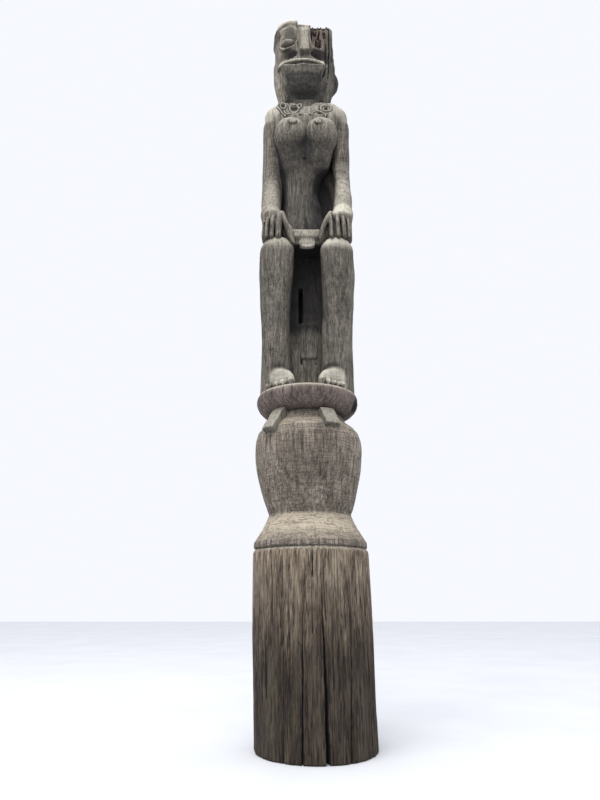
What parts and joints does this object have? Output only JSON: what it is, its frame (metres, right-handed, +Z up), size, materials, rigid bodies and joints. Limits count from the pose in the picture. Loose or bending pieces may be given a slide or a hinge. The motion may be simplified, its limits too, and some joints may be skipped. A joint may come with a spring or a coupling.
{
  "type": "guardian pole statue",
  "caption": "Standing pole carved from one log: a plain post, a footed jar, a shallow dish and a seated figure with its hands on its knees.",
  "frame": {"origin": "on the flat underside of the post, on the axis of the jar, the dish and the figure", "axes": "+Z up the log, the figure faces -Y, +X is to the right of someone who faces it"},
  "size_m": [0.2756, 0.269, 1.9999],
  "materials": {
    "wood": "unpainted weathered hardwood, grey-brown and matt, cracked along the grain"
  },
  "bodies": {
    "root": {"guardian_pole": "wood"}
  },
  "joints": []
}
